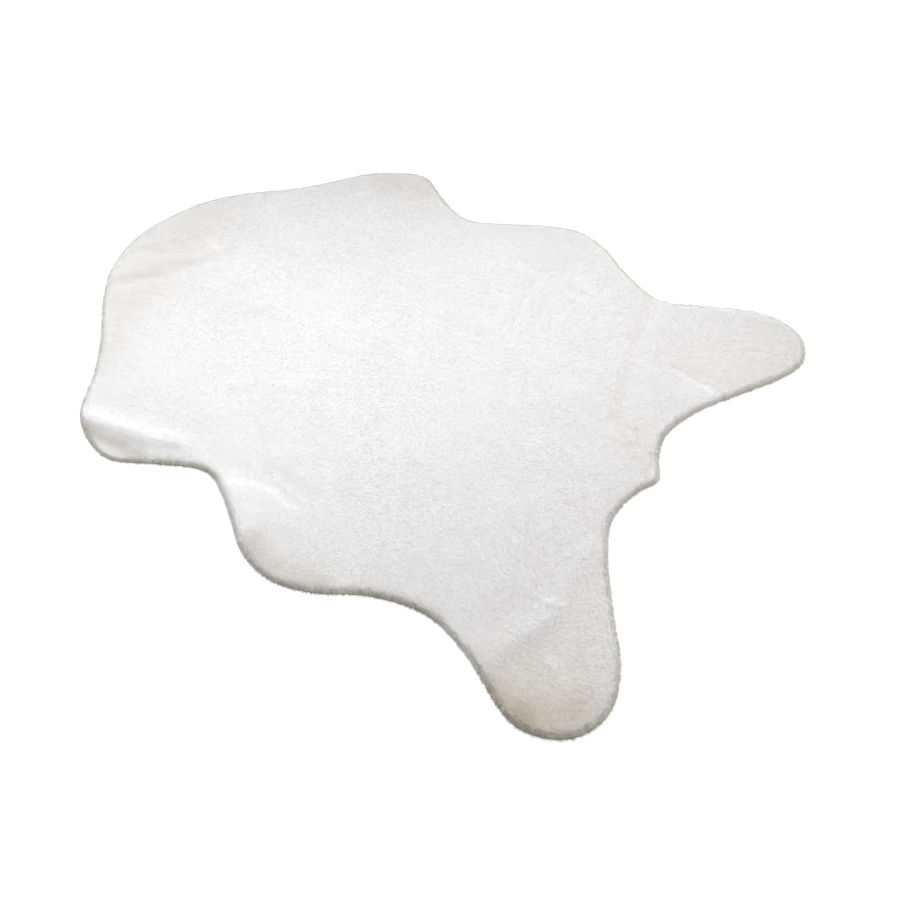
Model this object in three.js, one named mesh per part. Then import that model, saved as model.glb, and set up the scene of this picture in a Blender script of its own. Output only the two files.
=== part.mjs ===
// White faux fur rug: one hide-shaped panel of short plush fur cloth, lying on the floor.
// Millimetres, +Z up. +Y runs along the back, from the tail to the neck, and +X to the right.
// The origin is on the floor, at the middle of the rug's length and width.
import * as THREE from 'three';

// Driving sizes
const LENGTH = 1524; // from the hind legs' tips to the neck end, five feet
const WIDTH = 1168; // across the flanks, three feet ten inches
const THICKNESS = 13; // backing cloth and pile together, where the rug is flat

// Fineness: steps between two landmarks of the outline, and rounds of evening out the cells
const STEPS_PER_STRETCH = 4;
const EVENING_PASSES = 60;

// Landmarks of the cut edge, from the neck end down to the tail.
// along is the place on the back line, left and right the distances out from it.
const LANDMARKS = [
  { place: 'neck end', along: 762, left: 22, right: -22 },
  { place: 'neck corner', along: 722, left: 160, right: 147 },
  { place: 'neck shoulder', along: 650, left: 253, right: 246 },
  { place: 'neck side', along: 568, left: 333, right: 321 },
  { place: 'neck hollow', along: 503, left: 410, right: 401 },
  { place: 'foreleg front', along: 430, left: 515, right: 495 },
  { place: 'foreleg tip', along: 308, left: 557, right: 560 },
  { place: 'foreleg back', along: 210, left: 511, right: 507 },
  { place: 'waist hollow', along: 115, left: 471, right: 470 },
  { place: 'flank front', along: 22, left: 515, right: 511 },
  { place: 'flank shoulder', along: -60, left: 568, right: 557 },
  { place: 'flank', along: -140, left: 584, right: 584 },
  { place: 'flank rear', along: -225, left: 561, right: 565 },
  { place: 'flank back', along: -310, left: 511, right: 511 },
  { place: 'thigh hollow', along: -420, left: 485, right: 469 },
  { place: 'thigh', along: -515, left: 510, right: 511 },
  { place: 'leg side', along: -640, left: 567, right: 559 },
  { place: 'leg heel', along: -727, left: 536, right: 538 },
  { place: 'leg tip', along: -762, left: 464, right: 466 },
  { place: 'leg toe', along: -742, left: 382, right: 395 },
  { place: 'leg inner edge', along: -690, left: 304, right: 309 },
  { place: 'leg root', along: -624, left: 198, right: 198 },
  { place: 'tail hollow', along: -598, left: 128, right: 110 },
  { place: 'tail side', along: -612, left: 46, right: 47 },
  { place: 'tail tip', along: -634, left: 0, right: 0 },
];

// Rows of LANDMARKS at the corners of the grid of cells
const SHOULDER_ROW = LANDMARKS.findIndex((row) => row.place === 'foreleg tip');
const LEG_TIP_ROW = LANDMARKS.findIndex((row) => row.place === 'leg tip');

// Section of the rim, from the floor up to the flat top.
// inset is the distance in from the cut edge, rise the height above the floor.
const RIM_SECTION = [
  { place: 'edge of the backing', inset: 7, rise: 0 },
  { place: 'lower pile', inset: 1.5, rise: 2.5 },
  { place: 'widest pile', inset: 0, rise: 5.5 },
  { place: 'rounded pile', inset: 3, rise: 9.5 },
  { place: 'top pile', inset: 9, rise: 12.2 },
  { place: 'flat pile', inset: 18, rise: THICKNESS },
];

// Folds left from packing: a soft ridge, or a trough where rise is below zero.
// path runs over the plan as [across, along], half is half the fold's width.
const FOLDS = [
  { place: 'neck ridge', path: [[-170, 690], [20, 562]], half: 20, rise: 3 },
  { place: 'neck trough', path: [[-185, 665], [-60, 585], [60, 523]], half: 14, rise: -3.5 },
  { place: 'foreleg ridge', path: [[-505, 415], [-490, 330], [-455, 215]], half: 22, rise: 10 },
  { place: 'foreleg lobe', path: [[-538, 395], [-530, 290]], half: 16, rise: -4 },
  { place: 'flank swell', path: [[-470, 45], [-510, -45]], half: 45, rise: 6 },
  { place: 'flank trough', path: [[-440, 55], [-408, 0], [-418, -100]], half: 16, rise: -3 },
  { place: 'rear trough', path: [[475, -397], [290, -433], [80, -503]], half: 15, rise: -3.5 },
  { place: 'rear ridge', path: [[-505, -530], [-370, -602], [-215, -592]], half: 18, rise: 4 },
  { place: 'loin trough', path: [[185, -170], [300, -150], [395, -140]], half: 12, rise: -2.5 },
  { place: 'loin dimple', path: [[110, -135], [215, -112]], half: 13, rise: -2 },
  { place: 'leg trough', path: [[290, -572], [297, -612], [282, -655]], half: 12, rise: -3 },
];

// The cut edge as one closed smooth curve, clockwise from the neck end, at the rug's full size
function cutEdge() {
  const rightSide = LANDMARKS.map((row) => new THREE.Vector3(row.right, row.along, 0));
  const leftSide = LANDMARKS.slice(1, -1).map((row) => new THREE.Vector3(-row.left, row.along, 0));
  const loop = [...rightSide, ...leftSide.reverse()];
  const curve = new THREE.CatmullRomCurve3(loop, true, 'centripetal');
  const points = curve.getPoints(loop.length * STEPS_PER_STRETCH).slice(0, -1);
  const box = new THREE.Box3().setFromPoints(points);
  const middle = box.getCenter(new THREE.Vector3());
  const size = box.getSize(new THREE.Vector3());
  const trueSize = new THREE.Vector3(WIDTH / size.x, LENGTH / size.y, 1);
  return points.map((point) => point.sub(middle).multiply(trueSize));
}

// The curve again, moved in from the cut edge by one distance all the way round
function insetRing(edge, inset) {
  return edge.map((point, index) => {
    const before = edge.at(index - 1);
    const after = edge[(index + 1) % edge.length];
    const run = after.clone().sub(before).normalize();
    const inward = new THREE.Vector3(run.y, -run.x, 0);
    return point.clone().addScaledVector(inward, inset);
  });
}

// Height of one fold over a place on the plan, by how far off its path the place is
function foldRise(fold, x, y) {
  const place = new THREE.Vector3(x, y, 0);
  const corners = fold.path.map(([across, along]) => new THREE.Vector3(across, along, 0));
  const distances = corners.slice(1).map((end, index) => {
    const stretch = new THREE.Line3(corners[index], end);
    return stretch.closestPointToPoint(place, true, new THREE.Vector3()).distanceTo(place);
  });
  const away = Math.min(...distances) / fold.half;
  return fold.rise * Math.exp(-away * away);
}

// Height of the pile's top over the floor, folds and all
function topHeight(x, y) {
  return FOLDS.reduce((height, fold) => height + foldRise(fold, x, y), THICKNESS);
}

// Index on the innermost ring of a corner of the grid of cells, or null inside the grid.
// The ring starts at the middle of the neck end and runs clockwise.
function ringIndex(i, j, cellsAcross, cellsAlong) {
  const rightShoulder = cellsAcross / 2;
  const rightLegTip = rightShoulder + cellsAlong;
  const leftLegTip = rightLegTip + cellsAcross;
  const around = 2 * (cellsAcross + cellsAlong);
  if (j === cellsAlong) return (i - rightShoulder + around) % around;
  if (j === 0) return leftLegTip - i;
  if (i === cellsAcross) return rightLegTip - j;
  if (i === 0) return leftLegTip + j;
  return null;
}

// Place of one grid corner that keeps the grid's two families of lines even and apart,
// also beside the edge's hollows
function evenPlace(grid, i, j) {
  const acrossStep = grid[i + 1][j].clone().sub(grid[i - 1][j]);
  const alongStep = grid[i][j + 1].clone().sub(grid[i][j - 1]);
  const acrossPull = alongStep.lengthSq();
  const alongPull = acrossStep.lengthSq();
  const slantPull = acrossStep.dot(alongStep) / 2;
  return new THREE.Vector3()
    .addScaledVector(grid[i - 1][j], acrossPull)
    .addScaledVector(grid[i + 1][j], acrossPull)
    .addScaledVector(grid[i][j - 1], alongPull)
    .addScaledVector(grid[i][j + 1], alongPull)
    .addScaledVector(grid[i + 1][j + 1], -slantPull)
    .addScaledVector(grid[i - 1][j - 1], -slantPull)
    .addScaledVector(grid[i - 1][j + 1], slantPull)
    .addScaledVector(grid[i + 1][j - 1], slantPull)
    .divideScalar(2 * (acrossPull + alongPull));
}

// Places of the grid's corners, stretched between the four sides of the innermost ring
// and then evened out
function stretchGrid(ring, cellsAcross, cellsAlong) {
  const onRing = (i, j) => ring[ringIndex(i, j, cellsAcross, cellsAlong)];
  const grid = [];
  for (let i = 0; i <= cellsAcross; i += 1) {
    grid.push([]);
    for (let j = 0; j <= cellsAlong; j += 1) {
      const u = i / cellsAcross;
      const v = j / cellsAlong;
      const place = new THREE.Vector3()
        .addScaledVector(onRing(i, 0), 1 - v)
        .addScaledVector(onRing(i, cellsAlong), v)
        .addScaledVector(onRing(0, j), 1 - u)
        .addScaledVector(onRing(cellsAcross, j), u)
        .addScaledVector(onRing(0, 0), -(1 - u) * (1 - v))
        .addScaledVector(onRing(cellsAcross, 0), -u * (1 - v))
        .addScaledVector(onRing(0, cellsAlong), -(1 - u) * v)
        .addScaledVector(onRing(cellsAcross, cellsAlong), -u * v);
      grid[i].push(place);
    }
  }
  for (let pass = 0; pass < EVENING_PASSES; pass += 1) {
    for (let i = 1; i < cellsAcross; i += 1) {
      for (let j = 1; j < cellsAlong; j += 1) grid[i][j].copy(evenPlace(grid, i, j));
    }
  }
  return grid;
}

// Bands of faces between one ring of the rim and the next
function rimFaces(ringIds) {
  const faces = [];
  for (let level = 0; level + 1 < ringIds.length; level += 1) {
    const lower = ringIds[level];
    const upper = ringIds[level + 1];
    for (let index = 0; index < lower.length; index += 1) {
      const next = (index + 1) % lower.length;
      faces.push(lower[index], upper[index], upper[next]);
      faces.push(lower[index], upper[next], lower[next]);
    }
  }
  return faces;
}

// Faces of the top, each cell split across its shorter diagonal
function topFaces(gridIds, vertices) {
  const corner = (id) => new THREE.Vector3().fromArray(vertices, id * 3);
  const faces = [];
  for (let i = 0; i + 1 < gridIds.length; i += 1) {
    for (let j = 0; j + 1 < gridIds[i].length; j += 1) {
      const a = gridIds[i][j];
      const b = gridIds[i + 1][j];
      const c = gridIds[i + 1][j + 1];
      const d = gridIds[i][j + 1];
      if (corner(a).distanceTo(corner(c)) < corner(b).distanceTo(corner(d))) {
        faces.push(a, b, c, a, c, d);
      } else {
        faces.push(a, b, d, b, c, d);
      }
    }
  }
  return faces;
}

// Flat faces of the underside, looking down
function undersideFaces(ring, ids) {
  const outline = ring.map((point) => new THREE.Vector2(point.x, point.y));
  const triangles = THREE.ShapeUtils.triangulateShape(outline, []);
  return triangles.flatMap(([a, b, c]) => [ids[c], ids[b], ids[a]]);
}

// The whole rug as one closed surface: rim bands, top cells and the flat underside
function furRugGeometry() {
  const cellsAcross = 2 * SHOULDER_ROW * STEPS_PER_STRETCH;
  const cellsAlong = (LEG_TIP_ROW - SHOULDER_ROW) * STEPS_PER_STRETCH;
  const vertices = [];

  function addVertex(x, y, rise) {
    vertices.push(x, y, (rise / THICKNESS) * topHeight(x, y));
    return vertices.length / 3 - 1;
  }

  const edge = cutEdge();
  const rings = RIM_SECTION.map((row) => insetRing(edge, row.inset));
  const ringIds = rings.map((ring, level) =>
    ring.map((point) => addVertex(point.x, point.y, RIM_SECTION[level].rise)),
  );
  const gridIds = stretchGrid(rings.at(-1), cellsAcross, cellsAlong).map((line, i) =>
    line.map((point, j) => {
      const index = ringIndex(i, j, cellsAcross, cellsAlong);
      return index === null ? addVertex(point.x, point.y, THICKNESS) : ringIds.at(-1)[index];
    }),
  );

  const geometry = new THREE.BufferGeometry();
  geometry.setAttribute('position', new THREE.Float32BufferAttribute(vertices, 3));
  geometry.setIndex([
    ...rimFaces(ringIds),
    ...topFaces(gridIds, vertices),
    ...undersideFaces(rings[0], ringIds[0]),
  ]);
  geometry.computeVertexNormals();
  return geometry;
}

const whitePlush = new THREE.MeshStandardMaterial({ color: 0xf1f0ed, roughness: 0.95, metalness: 0 });

const furRug = new THREE.Mesh(furRugGeometry(), whitePlush);
furRug.name = 'fur_rug';

const rug = new THREE.Group();
rug.add(furRug);

export default rug;
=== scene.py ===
import math

import bmesh
import bpy
import numpy as np
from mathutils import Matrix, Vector
from mathutils.bvhtree import BVHTree
from mathutils.kdtree import KDTree


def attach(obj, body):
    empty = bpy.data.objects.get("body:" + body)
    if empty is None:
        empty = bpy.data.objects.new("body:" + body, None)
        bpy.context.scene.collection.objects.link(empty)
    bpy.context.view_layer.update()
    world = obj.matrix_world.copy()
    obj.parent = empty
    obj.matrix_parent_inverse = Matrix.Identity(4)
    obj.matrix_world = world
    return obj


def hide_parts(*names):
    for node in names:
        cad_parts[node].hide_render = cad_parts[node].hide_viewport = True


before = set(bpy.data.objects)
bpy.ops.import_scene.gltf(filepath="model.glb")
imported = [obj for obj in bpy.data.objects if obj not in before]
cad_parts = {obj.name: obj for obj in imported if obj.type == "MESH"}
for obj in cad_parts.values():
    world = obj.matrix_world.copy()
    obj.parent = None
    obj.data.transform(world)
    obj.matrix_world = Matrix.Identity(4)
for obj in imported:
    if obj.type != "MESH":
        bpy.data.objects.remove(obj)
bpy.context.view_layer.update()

# The rug lies on the floor at z = 0, with +Y along its back from the tail to the neck.
# Every size is in metres.

# Cut size of the fur cloth before it was laid down
CUT_WIDTH = 1.168
CUT_LENGTH = 1.524

# Pile: the dense part is the cloth's own mesh, and loose fibre tips stand out of it.
# Roots sit a little below its top, and below RIM_HEIGHT the pile at the rim is darkened with painted
# shade.
LOOSE_PILE = 0.0019
LOOSE_PILE_AT_RIM = 0.0030
ROOT_DEPTH = 0.0006
LOWEST_FIBRE = 0.0004
RIM_HEIGHT = 0.0098
CLOTH_FINENESS = 2

# Wisps of loose fibre, four faces each: on top of the pile, and where it rolls over at the rim.
# Their spread is how unlike its neighbours a wisp's tone is, and roundness how far its sides show.
FIELD_PIECES = 4
FIELD_SPACING = 0.00305
FIELD_WISP = {"length": 0.0058, "radius": 0.00040, "spread": 0.02, "roundness": 0.0}
RIM_WISPS = 30000
RIM_WISP = {"length": 0.0086, "radius": 0.00044, "spread": 0.80, "roundness": 0.20}
LENGTH_RANGE = (0.78, 1.18)
RADIUS_RANGE = (0.75, 1.2)
# Painted shade at the roots: the dense pile and the wisps' roots get this share of the painted light
# of the tips
PAINTED_LIGHT_AT_ROOTS = 0.95

# Which part of the rug a place belongs to, told from its distance to the outline, its height,
# and the upward part of the way the cloth faces there
RIM_WIDTH = 0.016
RIM_TILT = (-0.35, 0.995)
SIDE_TILT = 0.4
UNDER_TILT = -0.8
UNDER_HEIGHT = 0.003
BACKING_TILT = -0.85
BACKING_BLEND = 0.3
ON_OUTLINE = 0.003

# Light coming through the fibres makes the pile look rounded over a wider rim than it is
ROUNDED_WIDTH = 0.023
ROUNDED_TILT = 0.85
STEEPEST_TOP = 0.6

# How far light spreads inside the pile
PILE_SCATTER = 0.005

# Nap: fibres lean back to the tail, swept about by hand and drawn into small clumps
NAP_HEADING = math.radians(-80)
NAP_LEAN = math.radians(74)
RIM_LEAN = math.radians(65)
RIM_DROOP = 0.5
SWEEP_SIZE = 0.11
SWEEP_TURN = math.radians(38)
CLUMP_SIZE = 0.009
CLUMP_TURN = math.radians(13)
CLUMP_LEAN = math.radians(3)
HEADING_SCATTER = 0.30
LEAN_SCATTER = 0.08
NAP_AT_RIM = 0.15

# Tufts: at the rim and in the patches of painted shade, neighbouring fibres look alike over TUFT_SIZE.
# TUFT_SHARE of a wisp's tone comes from its tuft, EVEN_TUFT is the tone that changes nothing,
# and the last value is how much more unlike each other wisps look in the patches of painted shade.
TUFT_SIZE = 0.0032
TUFT_SWING = 0.8
TUFT_SHARE = 0.6
EVEN_TUFT = 0.42
SPREAD_IN_PAINTED_SHADE = 2.0

# Fine folds left from packing, each a soft ridge, or a trough where rise is below zero.
# path runs over the plan as (across, along), and half is half the fold's width.
FINE_FOLDS = {
    "neck ripple front": {"path": [(-0.120, 0.728), (-0.060, 0.690)], "half": 0.010, "rise": -0.0014},
    "neck ripple back": {"path": [(-0.070, 0.735), (0.010, 0.670)], "half": 0.011, "rise": 0.0014},
    "loin crease": {
        "path": [(0.186, -0.178), (0.235, -0.173), (0.300, -0.154)],
        "half": 0.0055,
        "rise": -0.0027,
    },
    "loin crease end": {
        "path": [(0.300, -0.154), (0.345, -0.150), (0.400, -0.138)],
        "half": 0.005,
        "rise": -0.0018,
    },
    "loin ridge": {
        "path": [(0.190, -0.192), (0.300, -0.168), (0.350, -0.163)],
        "half": 0.009,
        "rise": 0.0018,
    },
    "loin dimple left": {"path": [(0.108, -0.137), (0.132, -0.133)], "half": 0.012, "rise": -0.0024},
    "loin dimple middle": {"path": [(0.195, -0.118), (0.225, -0.112)], "half": 0.011, "rise": -0.0020},
    "loin dimple right": {"path": [(0.285, -0.118), (0.312, -0.112)], "half": 0.012, "rise": -0.0018},
    "loin dimple end": {"path": [(0.388, -0.118), (0.402, -0.092)], "half": 0.012, "rise": -0.0022},
    "rump dimple": {"path": [(0.374, -0.240), (0.380, -0.262)], "half": 0.013, "rise": -0.0018},
    "thigh dimple": {"path": [(0.355, -0.355), (0.366, -0.372)], "half": 0.012, "rise": -0.0014},
    "flank line": {"path": [(0.430, -0.224), (0.560, -0.226)], "half": 0.007, "rise": -0.0012},
    "tail dimple": {
        "path": [(0.082, -0.540), (0.064, -0.552), (0.046, -0.564)],
        "half": 0.007,
        "rise": -0.0026,
    },
    "tail root": {
        "path": [(-0.012, -0.606), (0.016, -0.604), (0.045, -0.592)],
        "half": 0.005,
        "rise": -0.0030,
    },
    "far leg crease": {
        "path": [(0.285, -0.530), (0.281, -0.584), (0.281, -0.611)],
        "half": 0.006,
        "rise": -0.0014,
    },
    "far leg crease end": {
        "path": [(0.281, -0.611), (0.272, -0.640), (0.262, -0.662)],
        "half": 0.0055,
        "rise": -0.0034,
    },
    "toe dimples": {
        "path": [(0.408, -0.639), (0.422, -0.656), (0.440, -0.690)],
        "half": 0.006,
        "rise": -0.0006,
    },
    "near leg crest": {
        "path": [(-0.505, -0.545), (-0.429, -0.568), (-0.370, -0.598)],
        "half": 0.014,
        "rise": 0.0009,
    },
    "near leg streak": {"path": [(-0.349, -0.581), (-0.343, -0.607)], "half": 0.007, "rise": 0.0016},
    "near leg tuft": {"path": [(-0.442, -0.642), (-0.464, -0.680)], "half": 0.009, "rise": 0.0010},
    "flank arc": {
        "path": [(-0.462, 0.064), (-0.439, 0.029), (-0.427, -0.020), (-0.435, -0.074)],
        "half": 0.010,
        "rise": -0.0011,
    },
    "foreleg line": {
        "path": [(-0.515, 0.405), (-0.507, 0.340), (-0.495, 0.262)],
        "half": 0.006,
        "rise": -0.0010,
    },
    "foreleg crest": {
        "path": [(-0.503, 0.400), (-0.492, 0.335), (-0.476, 0.250)],
        "half": 0.012,
        "rise": 0.0024,
    },
    "back dimple": {"path": [(-0.215, 0.402), (-0.180, 0.405)], "half": 0.011, "rise": -0.0010},
}

# Patches of painted highlight and painted shade, laid as pile stroked another way: the lightness lifts
# it toward its bright colour, or lays painted shade below zero, and the warm shade is how much
# yellower the painted shade is there, bluer below zero. Laid out as the folds are.
PAINTED_PATCHES = {
    "foreleg crest": {
        "path": [(-0.500, 0.402), (-0.489, 0.335), (-0.472, 0.252)],
        "half": 0.012,
        "painted_lightness": 0.60,
        "warm_shade": -0.2,
    },
    "foreleg line": {
        "path": [(-0.513, 0.409), (-0.505, 0.335), (-0.492, 0.258)],
        "half": 0.006,
        "painted_lightness": -0.08,
        "warm_shade": 0.1,
    },
    "foreleg lobe": {
        "path": [(-0.524, 0.398), (-0.526, 0.347), (-0.513, 0.262)],
        "half": 0.016,
        "painted_lightness": -0.40,
        "warm_shade": 0.15,
    },
    "foreleg lobe end": {
        "path": [(-0.535, 0.268), (-0.525, 0.240)],
        "half": 0.012,
        "painted_lightness": -0.12,
        "warm_shade": 0.1,
    },
    "bay rim": {
        "path": [(-0.510, 0.205), (-0.486, 0.147), (-0.476, 0.110), (-0.480, 0.080)],
        "half": 0.012,
        "painted_lightness": -0.40,
        "warm_shade": 0.2,
    },
    "flank white": {
        "path": [(-0.468, 0.052), (-0.492, 0.010), (-0.515, -0.020)],
        "half": 0.022,
        "painted_lightness": 0.30,
        "warm_shade": -0.27,
    },
    "flank grey": {
        "path": [(-0.500, -0.050), (-0.535, -0.060)],
        "half": 0.018,
        "painted_lightness": -0.06,
        "warm_shade": 0.07,
    },
    "flank rim": {
        "path": [(-0.549, -0.075), (-0.558, -0.115), (-0.555, -0.170), (-0.540, -0.225)],
        "half": 0.022,
        "painted_lightness": -0.28,
        "warm_shade": 0.2,
    },
    "belly rim": {
        "path": [(-0.515, -0.290), (-0.490, -0.356), (-0.488, -0.431)],
        "half": 0.018,
        "painted_lightness": -0.14,
        "warm_shade": 0.14,
    },
    "near leg crest": {
        "path": [(-0.500, -0.547), (-0.429, -0.568), (-0.372, -0.598)],
        "half": 0.012,
        "painted_lightness": 0.08,
        "warm_shade": 0.0,
    },
    "near leg streak": {
        "path": [(-0.349, -0.581), (-0.343, -0.607)],
        "half": 0.008,
        "painted_lightness": 0.12,
        "warm_shade": 0.0,
    },
    "near leg tuft": {
        "path": [(-0.440, -0.640), (-0.464, -0.682)],
        "half": 0.009,
        "painted_lightness": 0.14,
        "warm_shade": 0.05,
    },
    "near leg grey": {
        "path": [(-0.480, -0.585), (-0.446, -0.601)],
        "half": 0.024,
        "painted_lightness": -0.02,
        "warm_shade": 0.10,
    },
    "near leg left": {
        "path": [(-0.536, -0.575), (-0.545, -0.612), (-0.550, -0.647)],
        "half": 0.026,
        "painted_lightness": -0.34,
        "warm_shade": 0.48,
    },
    "near leg low": {
        "path": [(-0.540, -0.655), (-0.522, -0.690), (-0.490, -0.712)],
        "half": 0.030,
        "painted_lightness": -0.18,
        "warm_shade": 0.41,
    },
    "near leg middle": {
        "path": [(-0.500, -0.620), (-0.490, -0.690)],
        "half": 0.060,
        "painted_lightness": -0.03,
        "warm_shade": 0.30,
    },
    "near leg right": {
        "path": [(-0.330, -0.640), (-0.400, -0.695)],
        "half": 0.055,
        "painted_lightness": 0.10,
        "warm_shade": 0.15,
    },
    "far leg": {
        "path": [(0.330, -0.600), (0.430, -0.690)],
        "half": 0.075,
        "painted_lightness": 0.02,
        "warm_shade": 0.14,
    },
    "far leg patch": {
        "path": [(0.250, -0.590), (0.245, -0.640)],
        "half": 0.022,
        "painted_lightness": 0.16,
        "warm_shade": -0.14,
    },
    "rear fold": {
        "path": [(0.463, -0.392), (0.284, -0.432), (0.080, -0.489)],
        "half": 0.014,
        "painted_lightness": -0.09,
        "warm_shade": 0.0,
    },
    "tail": {"path": [(0.085, -0.525), (0.040, -0.555)], "half": 0.024, "painted_lightness": -0.06, "warm_shade": 0.2},
    "neck band": {
        "path": [(-0.190, 0.680), (-0.094, 0.605), (-0.010, 0.556), (0.040, 0.528)],
        "half": 0.018,
        "painted_lightness": -0.11,
        "warm_shade": 0.0,
    },
    "neck": {
        "path": [(0.120, 0.660), (-0.060, 0.650), (-0.180, 0.600)],
        "half": 0.080,
        "painted_lightness": -0.10,
        "warm_shade": 0.1,
    },
    "left edge": {
        "path": [(-0.240, 0.600), (-0.380, 0.490)],
        "half": 0.050,
        "painted_lightness": -0.12,
        "warm_shade": 0.0,
    },
    "far foreleg": {
        "path": [(0.470, 0.350), (0.515, 0.290)],
        "half": 0.050,
        "painted_lightness": -0.10,
        "warm_shade": 0.27,
    },
}

# Unevenness of the pile's top, as soft bumps of two sizes
UNEVEN = [
    {"size": 0.045, "rise": 0.0004, "seed": 11},
    {"size": 0.014, "rise": 0.00013, "seed": 12},
]

# Tint of the painted warm shade at its fullest, and how much painted warm shade the rim gets, and the
# painted shade low down there
WARM_SHADE_TINT = (1.0, 0.945, 0.81, 1)
RIM_WARM_SHADE = 0.35
LOW_WARM_SHADE = 0.9

# Plush of the dense pile, the loose pile on top and the loose pile at the rim: its colour in full
# painted light, its colour in full painted shade at the roots and rim, and how far light is let
# through
PLUSH = {
    "dense_plush": {
        "bright": (0.950, 0.939, 0.948, 1),
        "shaded": (0.51, 0.478, 0.408, 1),
        "seen_through": 0.7,
    },
    "loose_plush": {
        "bright": (0.960, 0.949, 0.958, 1),
        "shaded": (0.55, 0.516, 0.443, 1),
        "seen_through": 0.7,
    },
    "rim_plush": {
        "bright": (0.970, 0.956, 0.960, 1),
        "shaded": (0.56, 0.475, 0.350, 1),
        "seen_through": 0.9,
    },
}

# Soft mottles in the plush: large ones where it is swept another way, and the fibres' own grain
MOTTLES = [
    {"scale": 14.0, "detail": 3.0, "strength": 0.12},
    {"scale": 420.0, "detail": 1.0, "strength": 0.04},
]

# Soft boxes of the studio: two above the rug, and three low down beside it for its rim
SOFT_BOXES = [
    {
        "name": "neck_box",
        "place": (0.10, 0.47, 1.44),
        "aim": (-1.20, -0.11, 0),
        "across": 0.5,
        "power": 24.5,
        "colour": (0.952, 0.974, 1.0),
    },
    {
        "name": "rump_box",
        "place": (0.58, -0.28, 1.00),
        "aim": (0.60, -1.20, 0),
        "across": 0.5,
        "power": 5.3,
        "colour": (0.952, 0.974, 1.0),
    },
    {
        "name": "right_side_box",
        "place": (3.0, -1.2, 0.50),
        "aim": (0, 0, 0),
        "across": 0.7,
        "power": 44,
        "colour": (1.0, 0.975, 0.94),
    },
    {
        "name": "neck_side_box",
        "place": (-0.8, 2.9, 0.45),
        "aim": (0, 0, 0),
        "across": 0.7,
        "power": 33,
        "colour": (0.99, 0.99, 0.99),
    },
    {
        "name": "tail_side_box",
        "place": (0.1, -3.0, 0.45),
        "aim": (0, 0, 0),
        "across": 0.7,
        "power": 17,
        "colour": (1.0, 0.965, 0.92),
    },
]

# Half the side of the studio's floor
FLOOR_REACH = 20.0

# Camera of the photograph, over the rug's left side and looking across it
CAMERA_PLACE = (-0.9840, -0.7964, 1.3186)
CAMERA_HEADING = math.radians(33.5)
CAMERA_PITCH = math.radians(53.1)
CAMERA_LENS = 32.88


def soft_noise(x, y, size, seed):
    """Smooth random heights from -1 to 1 over the plan, with bumps about size across."""
    cells = 512
    table = np.random.default_rng(seed).uniform(-1, 1, (cells, cells))
    u = x / size + cells / 2
    v = y / size + cells / 2
    i = np.floor(u).astype(int)
    j = np.floor(v).astype(int)
    s = u - i
    t = v - j
    s = s * s * (3 - 2 * s)
    t = t * t * (3 - 2 * t)

    def corner(di, dj):
        return table[(i + di) % cells, (j + dj) % cells]

    near = corner(0, 0) * (1 - s) + corner(1, 0) * s
    far = corner(0, 1) * (1 - s) + corner(1, 1) * s
    return near * (1 - t) + far * t


def distance_to_path(x, y, path):
    """Distance of each place on the plan to the nearest stretch of a path."""
    best = np.full(len(x), np.inf)
    for (ax, ay), (bx, by) in zip(path, path[1:]):
        run_x, run_y = bx - ax, by - ay
        share = ((x - ax) * run_x + (y - ay) * run_y) / (run_x**2 + run_y**2)
        share = np.clip(share, 0, 1)
        best = np.minimum(best, np.hypot(x - ax - share * run_x, y - ay - share * run_y))
    return best


def fine_relief(x, y):
    """Height that the fine folds and the uneven pile add to the pile's top."""
    height = np.zeros(len(x))
    for fold in FINE_FOLDS.values():
        away = distance_to_path(x, y, fold["path"]) / fold["half"]
        height += fold["rise"] * np.exp(-(away**2))
    for bumps in UNEVEN:
        height += bumps["rise"] * soft_noise(x, y, bumps["size"], bumps["seed"])
    return height


def painted_patches(x, y, key):
    """Painted light, with painted shade below zero, or painted warm shade, as key says, that the
    patches lay on each place.
    """
    share = np.zeros(len(x))
    for stroke in PAINTED_PATCHES.values():
        away = distance_to_path(x, y, stroke["path"]) / stroke["half"]
        share += stroke[key] * np.exp(-(away**2))
    return share


def give_tone(mesh, painted_light_and_tone, warm_shade):
    """Tells the plush material each place's painted light and shade with its tone, and its painted
    warm shade.
    """
    for name, values in (("painted_light_and_tone", painted_light_and_tone), ("warm_shade", warm_shade)):
        told = mesh.attributes.new(name, "FLOAT", "POINT")
        told.data.foreach_set("value", values.astype(np.float32).ravel())


def outline_tree(places, normals):
    """Finder for the nearest place on the outline, where the cloth's sides face outward."""
    side = places[np.abs(normals[:, 2]) < SIDE_TILT]
    tree = KDTree(len(side))
    for number, (x, y, _) in enumerate(side.tolist()):
        tree.insert((x, y, 0), number)
    tree.balance()
    return tree


def from_outline(places, outline):
    """The nearest place on the outline to each place, and how far off it is."""
    found = [outline.find((x, y, 0)) for x, y, _ in places.tolist()]
    nearest = np.array([co[:2] for co, _, _ in found])
    return nearest, np.array([distance for _, _, distance in found])


def rim_share(away):
    """1 at the outline, falling softly to 0 where the pile has rolled over onto the top."""
    share = np.clip(1 - away / RIM_WIDTH, 0, 1)
    return share * share * (3 - 2 * share)


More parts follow.
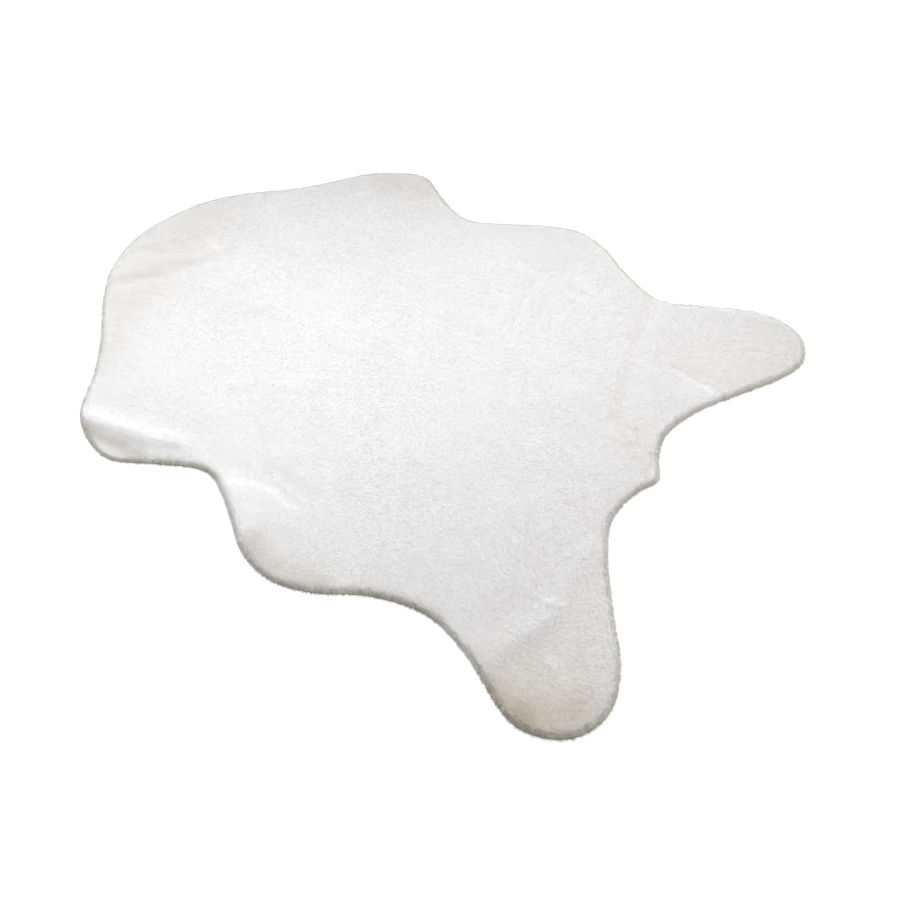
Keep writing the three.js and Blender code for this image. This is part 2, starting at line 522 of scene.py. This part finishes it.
def shaded_ways(places, slopes, nearest, away):
    """The way each place faces in the light: as the cloth does, turned outward over the rim."""
    away = away[:, None]
    to_rim = (nearest - places[:, :2]) / np.maximum(away, 1e-6)
    steepness = np.linalg.norm(slopes[:, :2], axis=1, keepdims=True)
    own = slopes[:, :2] / np.maximum(steepness, 1e-6)
    outward = np.where(away > ON_OUTLINE, to_rim, own)
    turn = ROUNDED_TILT * np.clip(1 - away / ROUNDED_WIDTH, 0, 1) ** 2
    top = slopes / np.maximum(slopes[:, 2:], STEEPEST_TOP)
    in_rim = np.clip(1 - away / RIM_WIDTH, 0, 1)
    flat = top * (1 - in_rim) + [0, 0, 1] * in_rim
    ways = flat + np.column_stack([outward * turn, np.zeros(len(places))])
    under = (slopes[:, 2] < UNDER_TILT) & (places[:, 2] < UNDER_HEIGHT)
    ways[under] = slopes[under]
    return ways / np.linalg.norm(ways, axis=1, keepdims=True)


def painted_pile_light(height, rim):
    """Painted light of the pile: 1 on top, and down to 0, full painted shade, at the floor under the
    rim.
    """
    share = np.clip(height / RIM_HEIGHT, 0, 1)
    return 1 - rim * (1 - share) ** 2


def new_piece(name, mesh):
    """A new object for a mesh, linked into the scene."""
    piece = bpy.data.objects.new(name, mesh)
    bpy.context.scene.collection.objects.link(piece)
    return piece


def read_vectors(collection, key, count):
    """A mesh collection's vectors as rows of three."""
    values = np.empty(count * 3, np.float32)
    collection.foreach_get(key, values)
    return values.reshape(-1, 3).astype(float)


def fur_cloth():
    """The cloth with its dense pile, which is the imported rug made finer, and its true slopes.

    It is drawn in by the depth of the loose pile that stands out of it.
    """
    coarse = bmesh.new()
    coarse.from_mesh(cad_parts["fur_rug"].data)
    bmesh.ops.remove_doubles(coarse, verts=coarse.verts, dist=1e-6)
    mesh = bpy.data.meshes.new("fur_cloth_coarse")
    coarse.to_mesh(mesh)
    coarse.free()
    cloth = new_piece("fur_cloth", mesh)
    finer = cloth.modifiers.new("finer", "SUBSURF")
    finer.levels = finer.render_levels = CLOTH_FINENESS
    evaluated = cloth.evaluated_get(bpy.context.evaluated_depsgraph_get())
    finished = bpy.data.meshes.new_from_object(evaluated)
    cloth.modifiers.clear()
    cloth.data = finished

    places = read_vectors(finished.vertices, "co", len(finished.vertices))
    normals = read_vectors(finished.vertex_normals, "vector", len(finished.vertices))
    pile_side = np.clip((normals[:, 2] - BACKING_TILT) / BACKING_BLEND, 0, 1)
    top_side = np.clip(normals[:, 2], 0, 1)
    drawn_in = LOOSE_PILE * top_side + LOOSE_PILE_AT_RIM * (1 - top_side)
    outline = outline_tree(places, normals)
    nearest, away = from_outline(places, outline)
    x = places[:, 0].copy()
    y = places[:, 1].copy()
    rim = rim_share(away)
    # Painted shade low on the rim and at the roots, the painted highlight and shade patches, and
    # painted warm shade
    lit = painted_pile_light(places[:, 2], rim)
    painted_light_and_tone = PAINTED_LIGHT_AT_ROOTS * lit + painted_patches(x, y, "painted_lightness")
    warm_shade = RIM_WARM_SHADE * rim + LOW_WARM_SHADE * (1 - lit) + painted_patches(x, y, "warm_shade")
    places -= normals * (drawn_in * pile_side)[:, None]
    places[:, 2] += fine_relief(x, y) * top_side
    places[:, 2] = np.maximum(places[:, 2], 0.0)
    finished.vertices.foreach_set("co", places.astype(np.float32).ravel())
    give_tone(finished, painted_light_and_tone, warm_shade)
    finished.update()
    finished.shade_smooth()
    slopes = read_vectors(finished.vertex_normals, "vector", len(finished.vertices))
    finished.normals_split_custom_set_from_vertices(shaded_ways(places, slopes, nearest, away))
    return cloth, slopes


def even_roots(places, normals, faces):
    """Roots on an even six-way net over the top of the cloth, a little off it, with their normals."""
    rng = np.random.default_rng(100)
    along = np.arange(-CUT_LENGTH / 2, CUT_LENGTH / 2, FIELD_SPACING * math.sqrt(3) / 2)
    across = np.arange(-CUT_WIDTH / 2, CUT_WIDTH / 2, FIELD_SPACING)
    x, y = np.meshgrid(across, along)
    x[::2] += FIELD_SPACING / 2
    x, y = (v.ravel() + FIELD_SPACING * rng.uniform(-0.3, 0.3, v.size) for v in (x, y))
    tree = BVHTree.FromPolygons(places.tolist(), faces)
    down = Vector((0, 0, -1))
    roots, slopes = [], []
    for px, py in zip(x.tolist(), y.tolist()):
        hit, _, face, _ = tree.ray_cast(Vector((px, py, 1)), down)
        if hit is None:
            continue
        corners = list(faces[face])
        nearness = 1 / (np.linalg.norm(places[corners] - hit, axis=1) + 1e-5)
        roots.append(hit)
        slopes.append((normals[corners] * nearness[:, None]).sum(0))
    return np.array(roots), np.array(slopes), rng


def rim_roots(places, normals, faces):
    """Roots spread over the rounded rim of the pile, with their normals."""
    halves = [(a, b, c) for a, b, c, _ in faces] + [(c, d, a) for a, b, c, d in faces]
    corners = np.array(halves)
    tilt = normals[corners][:, :, 2].mean(1)
    corners = corners[(tilt > RIM_TILT[0]) & (tilt <= RIM_TILT[1])]
    a, b, c = (places[corners[:, k]] for k in range(3))
    areas = np.linalg.norm(np.cross(b - a, c - a), axis=1) / 2
    rng = np.random.default_rng(200)
    reached = (np.arange(RIM_WISPS) + rng.random(RIM_WISPS)) / RIM_WISPS * areas.sum()
    face = np.searchsorted(np.cumsum(areas), reached).clip(0, len(areas) - 1)
    share = rng.random((RIM_WISPS, 2))
    share = np.where(share.sum(1, keepdims=True) > 1, 1 - share, share)
    weights = np.column_stack([1 - share.sum(1), share])[:, :, None]
    roots = (places[corners[face]] * weights).sum(1)
    return roots, (normals[corners[face]] * weights).sum(1), rng


def nap_directions(roots, slopes, rim, rng):
    """Which way each wisp points: leaning with the nap on top, outward and drooping at the rim."""
    x = roots[:, 0]
    y = roots[:, 1]
    heading = NAP_HEADING + SWEEP_TURN * soft_noise(x, y, SWEEP_SIZE, 21)
    heading += CLUMP_TURN * soft_noise(x, y, CLUMP_SIZE, 22) + rng.normal(0, HEADING_SCATTER, len(x))
    nap = np.column_stack([np.cos(heading), np.sin(heading), np.zeros(len(x))])
    outward = slopes * [1, 1, 0]
    outward /= np.maximum(np.linalg.norm(outward, axis=1, keepdims=True), 0.05)
    rim = rim[:, None]
    combed = nap * (1 - rim) + (outward - [0, 0, RIM_DROOP]) * rim + NAP_AT_RIM * nap * rim
    along = combed - slopes * (combed * slopes).sum(1, keepdims=True)
    along /= np.maximum(np.linalg.norm(along, axis=1, keepdims=True), 1e-6)
    lean = NAP_LEAN * (1 - rim) + RIM_LEAN * rim + rng.normal(0, LEAN_SCATTER, (len(x), 1))
    lean += CLUMP_LEAN * (1 - rim) * soft_noise(x, y, CLUMP_SIZE, 23)[:, None]
    return slopes * np.cos(lean) + along * np.sin(lean)


def wisp_mesh(name, laid, rng):
    """One joined mesh of three-sided tapered wisps, closed at the root and shaded as the cloth is."""
    roots = laid["root"]
    rim = laid["rim"]
    count = len(roots)
    directions = nap_directions(roots, laid["slope"], rim, rng)
    here = {key: FIELD_WISP[key] * (1 - rim) + RIM_WISP[key] * rim for key in FIELD_WISP}
    length = here["length"] * rng.uniform(*LENGTH_RANGE, count)
    radius = here["radius"] * rng.uniform(*RADIUS_RANGE, count)
    side = np.cross(directions, rng.normal(size=(count, 3)))
    side /= np.linalg.norm(side, axis=1, keepdims=True)
    other = np.cross(directions, side)
    start = roots - directions * ROOT_DEPTH
    tip = start + directions * length[:, None]
    round_ways = [
        side * math.cos(turn) + other * math.sin(turn)
        for turn in (0, math.tau / 3, 2 * math.tau / 3)
    ]
    corners = [start + radius[:, None] * way for way in round_ways]
    places = np.stack([*corners, tip], axis=1)
    places[:, :, 2] = np.maximum(places[:, :, 2], LOWEST_FIBRE)
    faces = np.array([(0, 1, 3), (1, 2, 3), (2, 0, 3), (0, 2, 1)])
    indices = (np.arange(count)[:, None, None] * 4 + faces).reshape(-1)
    mesh = bpy.data.meshes.new(name)
    mesh.vertices.add(count * 4)
    mesh.vertices.foreach_set("co", places.astype(np.float32).ravel())
    mesh.loops.add(len(indices))
    mesh.loops.foreach_set("vertex_index", indices.astype(np.int32))
    mesh.polygons.add(count * 4)
    mesh.polygons.foreach_set("loop_start", np.arange(0, len(indices), 3, dtype=np.int32))
    # Painted shade low on the rim and at the roots, painted highlight and shade patches with random
    # tone, and painted warm shade
    lit = painted_pile_light(places[:, :, 2], rim[:, None])
    painted_lightness = painted_patches(roots[:, 0], roots[:, 1], "painted_lightness")
    spread = here["spread"] + SPREAD_IN_PAINTED_SHADE * np.maximum(-painted_lightness, 0)
    greyer = rng.random(count) * (1 - TUFT_SHARE) + laid["tuft"] * TUFT_SHARE
    own_tone = painted_lightness - spread * (greyer - EVEN_TUFT)
    painted_light_and_tone = lit * [PAINTED_LIGHT_AT_ROOTS, PAINTED_LIGHT_AT_ROOTS, PAINTED_LIGHT_AT_ROOTS, 1] + own_tone[:, None]
    own_warm_shade = RIM_WARM_SHADE * rim + painted_patches(roots[:, 0], roots[:, 1], "warm_shade")
    warm_shade = LOW_WARM_SHADE * (1 - lit) + own_warm_shade[:, None]
    give_tone(mesh, painted_light_and_tone, warm_shade)
    mesh.update()
    mesh.validate()
    mesh.shade_smooth()
    own_ways = np.stack([*round_ways, directions * 0], axis=1) * here["roundness"][:, None, None]
    mesh.normals_split_custom_set_from_vertices((laid["way"][:, None, :] + own_ways).reshape(-1, 3))
    return mesh


def loose_pile(cloth, normals):
    """All the wisps: several pieces over the whole pile, and one more along the rounded rim."""
    mesh = cloth.data
    places = read_vectors(mesh.vertices, "co", len(mesh.vertices))
    faces = [tuple(face.vertices) for face in mesh.polygons]
    outline = outline_tree(places, normals)
    pieces = []
    kinds = ((even_roots, FIELD_PIECES, "loose_pile"), (rim_roots, 1, "rim_pile"))
    for finder, parts, name in kinds:
        roots, slopes, rng = finder(places, normals, faces)
        slopes /= np.linalg.norm(slopes, axis=1, keepdims=True)
        nearest, away = from_outline(roots, outline)
        tuft = 0.5 + TUFT_SWING * soft_noise(nearest[:, 0], nearest[:, 1], TUFT_SIZE, 24)
        laid = {
            "root": roots,
            "slope": slopes,
            "way": shaded_ways(roots, slopes, nearest, away),
            "rim": rim_share(away),
            "tuft": tuft,
        }
        if finder is rim_roots:
            kept = rng.random(len(roots)) < laid["rim"]
            laid = {key: rows[kept] for key, rows in laid.items()}
        for number in range(parts):
            some = {key: rows[number::parts] for key, rows in laid.items()}
            wisps = wisp_mesh(f"{name}_{number + 1}", some, rng)
            pieces.append(new_piece(wisps.name, wisps))
    return pieces


def group_sockets(group, inputs, outputs):
    """Names the sockets of a shader node group and gives it its input and output nodes."""
    for name, kind, default in inputs:
        socket = group.interface.new_socket(name, in_out="INPUT", socket_type=kind)
        socket.default_value = default
    for name, kind in outputs:
        group.interface.new_socket(name, in_out="OUTPUT", socket_type=kind)
    return group.nodes.new("NodeGroupInput"), group.nodes.new("NodeGroupOutput")


def pile_tone_group():
    """White of the pile, with soft mottles where it is swept another way, mixed toward its painted
    shade colour where the painted light is low, and given painted warm shade.
    """
    group = bpy.data.node_groups.new("pile_tone", "ShaderNodeTree")
    inputs = [
        ("Bright", "NodeSocketColor", (1, 1, 1, 1)),
        ("Shaded", "NodeSocketColor", (1, 1, 1, 1)),
        ("WarmShadeTint", "NodeSocketColor", (1, 1, 1, 1)),
        ("PaintedLightAndTone", "NodeSocketFloat", 1.0),
        ("WarmShade", "NodeSocketFloat", 0.0),
    ]
    source, result = group_sockets(group, inputs, [("Colour", "NodeSocketColor")])
    nodes, links = group.nodes, group.links
    place = nodes.new("ShaderNodeNewGeometry")
    share = source.outputs["PaintedLightAndTone"]
    for kind in MOTTLES:
        mottle = nodes.new("ShaderNodeTexNoise")
        mottle.inputs["Scale"].default_value = kind["scale"]
        mottle.inputs["Detail"].default_value = kind["detail"]
        links.new(place.outputs["Position"], mottle.inputs["Vector"])
        uneven = nodes.new("ShaderNodeMapRange")
        uneven.inputs["To Min"].default_value = -kind["strength"]
        uneven.inputs["To Max"].default_value = 0.0
        links.new(mottle.outputs["Fac"], uneven.inputs["Value"])
        added = nodes.new("ShaderNodeMath")
        added.operation = "ADD"
        links.new(share, added.inputs[0])
        links.new(uneven.outputs["Result"], added.inputs[1])
        share = added.outputs[0]
    pile = nodes.new("ShaderNodeMix")
    pile.data_type = "RGBA"
    links.new(share, pile.inputs["Factor"])
    links.new(source.outputs["Shaded"], pile.inputs["A"])
    links.new(source.outputs["Bright"], pile.inputs["B"])
    shade_warmed = nodes.new("ShaderNodeMix")
    shade_warmed.data_type = "RGBA"
    shade_warmed.blend_type = "MULTIPLY"
    links.new(source.outputs["WarmShade"], shade_warmed.inputs["Factor"])
    links.new(pile.outputs["Result"], shade_warmed.inputs["A"])
    links.new(source.outputs["WarmShadeTint"], shade_warmed.inputs["B"])
    links.new(shade_warmed.outputs["Result"], result.inputs["Colour"])
    return group


def plain_material(name, roughness, sheen, seen_through=0.0):
    """A new material with its Principled shader's constant values set."""
    material = bpy.data.materials.new(name)
    material.use_nodes = True
    shader = material.node_tree.nodes["Principled BSDF"]
    shader.inputs["Roughness"].default_value = roughness
    shader.inputs["Specular IOR Level"].default_value = 0.25
    shader.inputs["Sheen Weight"].default_value = sheen
    shader.inputs["Subsurface Weight"].default_value = seen_through
    shader.inputs["Subsurface Radius"].default_value = (1.0, 1.0, 1.0)
    shader.inputs["Subsurface Scale"].default_value = PILE_SCATTER
    shader.inputs["Sheen Roughness"].default_value = 0.45
    return material, shader


def plush_material(name, tone):
    """White plush, whose mesh carries its painted light and shade with its tone, and its painted warm
    shade.
    """
    plush = PLUSH[name]
    material, shader = plain_material(name, 0.78, 0.30, plush["seen_through"])
    nodes, links = material.node_tree.nodes, material.node_tree.links
    colour = nodes.new("ShaderNodeGroup")
    colour.node_tree = tone
    colour.inputs["Bright"].default_value = plush["bright"]
    colour.inputs["Shaded"].default_value = plush["shaded"]
    colour.inputs["WarmShadeTint"].default_value = WARM_SHADE_TINT
    for told_name, socket in (("painted_light_and_tone", "PaintedLightAndTone"), ("warm_shade", "WarmShade")):
        told = nodes.new("ShaderNodeAttribute")
        told.attribute_name = told_name
        links.new(told.outputs["Fac"], colour.inputs[socket])
    links.new(colour.outputs["Colour"], shader.inputs["Base Color"])
    return material


def backing_material():
    """Unbleached knitted backing: fine ribs and rows of loops."""
    material, shader = plain_material("knitted_backing", 0.9, 0.1)
    nodes, links = material.node_tree.nodes, material.node_tree.links
    place = nodes.new("ShaderNodeNewGeometry")
    ribs = nodes.new("ShaderNodeTexWave")
    ribs.bands_direction = "X"
    ribs.inputs["Scale"].default_value = 170.0
    rows = nodes.new("ShaderNodeTexWave")
    rows.bands_direction = "Y"
    rows.inputs["Scale"].default_value = 120.0
    loops = nodes.new("ShaderNodeMath")
    loops.operation = "MULTIPLY"
    bump = nodes.new("ShaderNodeBump")
    bump.inputs["Distance"].default_value = 0.0004
    # Painted shade: the backing's colour goes darker where the loops' bump is low, between the loops
    shade = nodes.new("ShaderNodeMix")
    shade.data_type = "RGBA"
    shade.inputs["A"].default_value = (0.56, 0.53, 0.47, 1)
    shade.inputs["B"].default_value = (0.74, 0.72, 0.67, 1)
    for wave in (ribs, rows):
        links.new(place.outputs["Position"], wave.inputs["Vector"])
    links.new(ribs.outputs["Fac"], loops.inputs[0])
    links.new(rows.outputs["Fac"], loops.inputs[1])
    links.new(loops.outputs[0], bump.inputs["Height"])
    links.new(bump.outputs["Normal"], shader.inputs["Normal"])
    links.new(loops.outputs[0], shade.inputs["Factor"])
    links.new(shade.outputs["Result"], shader.inputs["Base Color"])
    return material


def dress(cloth, wisps):
    """Plush on the pile, and knitted backing on the faces that look down at the floor."""
    tone = pile_tone_group()
    dense = plush_material("dense_plush", tone)
    loose = plush_material("loose_plush", tone)
    at_rim = plush_material("rim_plush", tone)
    cloth.data.materials.clear()
    cloth.data.materials.append(dense)
    cloth.data.materials.append(backing_material())
    count = len(cloth.data.polygons)
    faces_down = read_vectors(cloth.data.polygons, "normal", count)[:, 2] < UNDER_TILT
    low = read_vectors(cloth.data.polygons, "center", count)[:, 2] < UNDER_HEIGHT
    cloth.data.polygons.foreach_set("material_index", (faces_down & low).astype(np.int32))
    for piece in wisps:
        piece.data.materials.append(at_rim if piece.name.startswith("rim") else loose)


def pale_floor():
    """A wide pale floor, at the rug's underside."""
    mesh = bpy.data.meshes.new("floor")
    corners = [
        (-FLOOR_REACH, -FLOOR_REACH, 0),
        (FLOOR_REACH, -FLOOR_REACH, 0),
        (FLOOR_REACH, FLOOR_REACH, 0),
        (-FLOOR_REACH, FLOOR_REACH, 0),
    ]
    mesh.from_pydata(corners, [], [(0, 1, 2, 3)])
    floor = new_piece("floor", mesh)
    material, shader = plain_material("pale_floor", 0.9, 0.0)
    shader.inputs["Base Color"].default_value = (0.6, 0.6, 0.6, 1)
    shader.inputs["Emission Color"].default_value = (1, 1, 1, 1)
    shader.inputs["Emission Strength"].default_value = 0.9
    mesh.materials.append(material)


def soft_light():
    """Soft warm light from all round, and the soft boxes."""
    world = bpy.data.worlds.new("studio")
    world.use_nodes = True
    around = world.node_tree.nodes["Background"]
    around.inputs["Color"].default_value = (1.0, 0.967, 0.92, 1)
    around.inputs["Strength"].default_value = 0.303
    bpy.context.scene.world = world
    for box in SOFT_BOXES:
        lamp = bpy.data.lights.new(box["name"], "AREA")
        lamp.size = box["across"]
        lamp.energy = box["power"]
        lamp.color = box["colour"]
        lamp_piece = bpy.data.objects.new(box["name"], lamp)
        lamp_piece.location = box["place"]
        toward = Vector(box["aim"]) - Vector(box["place"])
        lamp_piece.rotation_mode = "QUATERNION"
        lamp_piece.rotation_quaternion = toward.to_track_quat("-Z", "Y")
        lamp_piece.visible_camera = False
        bpy.context.scene.collection.objects.link(lamp_piece)


def photo_camera():
    """The camera of the photograph."""
    camera = bpy.data.objects.new("camera", bpy.data.cameras.new("camera"))
    camera.data.lens = CAMERA_LENS
    camera.location = CAMERA_PLACE
    flat = math.cos(CAMERA_PITCH)
    forward = Vector((
        flat * math.cos(CAMERA_HEADING),
        flat * math.sin(CAMERA_HEADING),
        -math.sin(CAMERA_PITCH),
    ))
    camera.rotation_mode = "QUATERNION"
    camera.rotation_quaternion = forward.to_track_quat("-Z", "Y")
    bpy.context.scene.collection.objects.link(camera)
    bpy.context.scene.camera = camera


def studio():
    """Pale floor, soft light and the camera of the photograph, with plain colours."""
    bpy.context.scene.view_settings.view_transform = "Standard"
    pale_floor()
    soft_light()
    photo_camera()


studio()
cloth, slopes = fur_cloth()
wisps = loose_pile(cloth, slopes)
dress(cloth, wisps)

for piece in [cloth, *wisps]:
    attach(piece, "root")
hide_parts("fur_rug")
